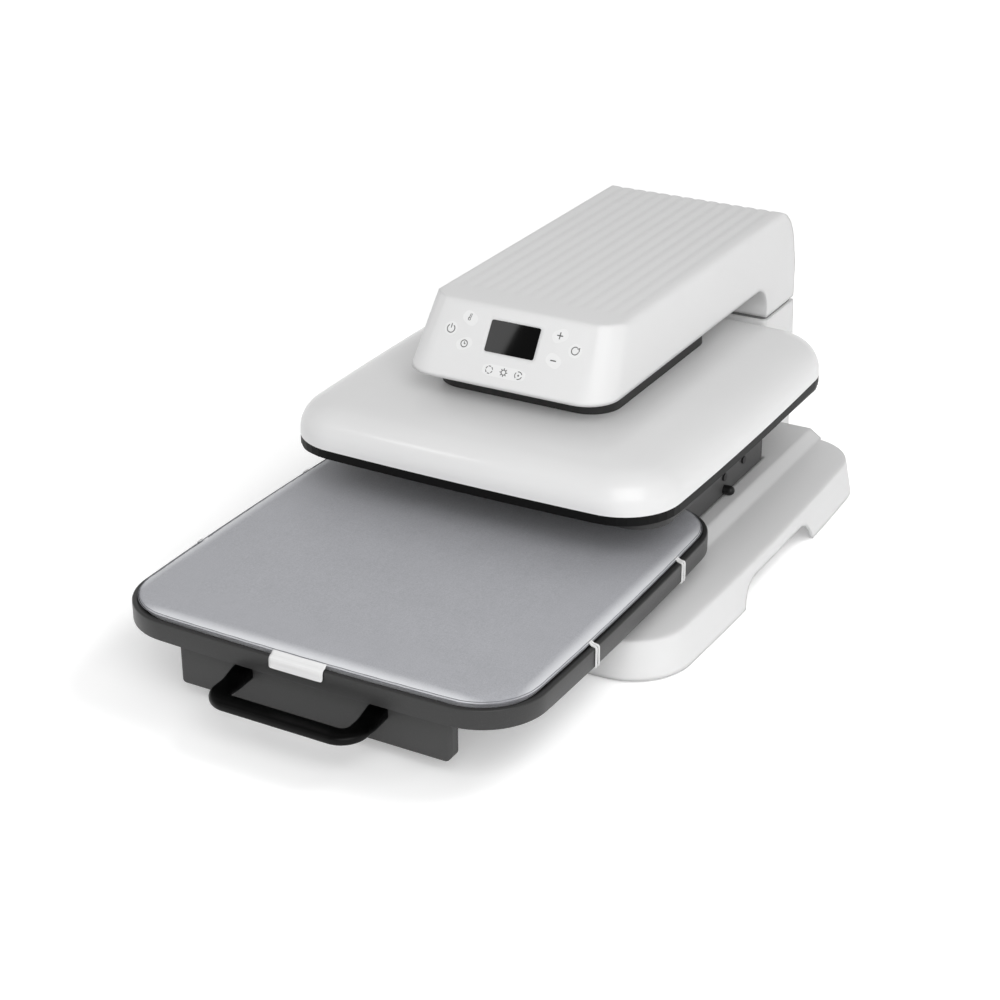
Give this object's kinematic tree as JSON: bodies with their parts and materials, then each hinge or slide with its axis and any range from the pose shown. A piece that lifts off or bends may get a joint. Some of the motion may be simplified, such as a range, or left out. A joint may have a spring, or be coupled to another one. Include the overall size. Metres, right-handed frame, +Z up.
{
  "type": "flat heat press",
  "caption": "Flat heat press: a motor lowers a domed heated platen from an arm onto a padded tray that slides out of the base on telescopic rails.",
  "frame": {"origin": "on the floor, under the middle of the machine's bounding box; the platen's centre lies 93 mm behind it", "axes": "+Z up, +X to the machine's right seen from its front, and the drawer slides out towards -Y; drawn with the drawer out and the platen raised"},
  "size_m": [0.4588, 0.8301, 0.256],
  "materials": {
    "white_shell": "fine satin moulded plastic",
    "white_gloss": "high gloss",
    "black_plastic": "satin black",
    "dark_steel": "fine powder coat, dark grey",
    "frame_steel": "satin grey paint",
    "bright_steel": "bright zinc",
    "black_steel": "black oxide",
    "cast_aluminium": "machined",
    "display_black": "polished black window",
    "board_green": "solder mask",
    "insulation_cream": "pressed mineral fibre",
    "seam_grey": "matte grey",
    "foot_rubber": "matte black rubber",
    "pad_fabric": "silver-grey heat-resistant weave",
    "white_fabric": "white woven tape"
  },
  "bodies": {
    "chassis": {"base_shell": "white_shell", "base_frame": "dark_steel", "rubber_feet": "foot_rubber", "column_shell": "white_shell", "seam_collar": "seam_grey", "arm_shell": "white_shell", "arm_bottom_cover": "white_shell", "press_frame": "frame_steel", "guide_carrier": "cast_aluminium", "gear_motor": "cast_aluminium", "display_glass": "display_black", "display_board": "board_green", "power_board": "board_green", "mains_inlet": "black_plastic", "switch_bezel": "black_plastic", "slide_outer_left": "bright_steel", "slide_outer_right": "bright_steel", "rail_stops": "foot_rubber", "rail_screws": "black_steel"},
    "platen": {"platen_cover": "white_gloss", "platen_rim": "black_plastic", "heating_plate": "cast_aluminium", "heater_tube": "bright_steel", "insulation_board": "insulation_cream", "pressure_plate": "dark_steel", "neck_skirt": "dark_steel", "guide_rods": "bright_steel", "lift_screw": "bright_steel", "thermal_cutout": "bright_steel", "rod_screws": "black_steel"},
    "drawer": {"tray": "dark_steel", "pad": "pad_fabric", "pad_tab": "white_fabric", "pad_straps": "white_fabric", "drawer_frame": "dark_steel", "front_panel": "dark_steel", "handle": "black_plastic", "handle_screws": "bright_steel", "slide_inner_left": "bright_steel", "slide_inner_right": "bright_steel"},
    "slide_members": {"slide_middle_left": "bright_steel", "slide_middle_right": "bright_steel"},
    "rocker": {"power_rocker": "black_plastic"}
  },
  "joints": [
    {"name": "platen_lift", "type": "slide", "parent": "chassis", "child": "platen", "axis": [0, 0, -1], "range_m": [0, 0.0347]},
    {"name": "drawer_slide", "type": "slide", "parent": "chassis", "child": "drawer", "axis": [0, 1, 0], "range_m": [0, 0.264]},
    {"name": "slide_extension", "type": "slide", "parent": "chassis", "child": "slide_members", "axis": [0, 1, 0], "range_m": [0, 0.132]},
    {"name": "rocker_pivot", "type": "hinge", "parent": "chassis", "child": "rocker", "pos_m": [0.014, 0.41107, 0.03], "axis": [1, 0, 0], "range_deg": [-16, 0]}
  ],
  "couplings": [
    {"joint": "slide_extension", "follows": "drawer_slide", "ratio": 0.5}
  ]
}
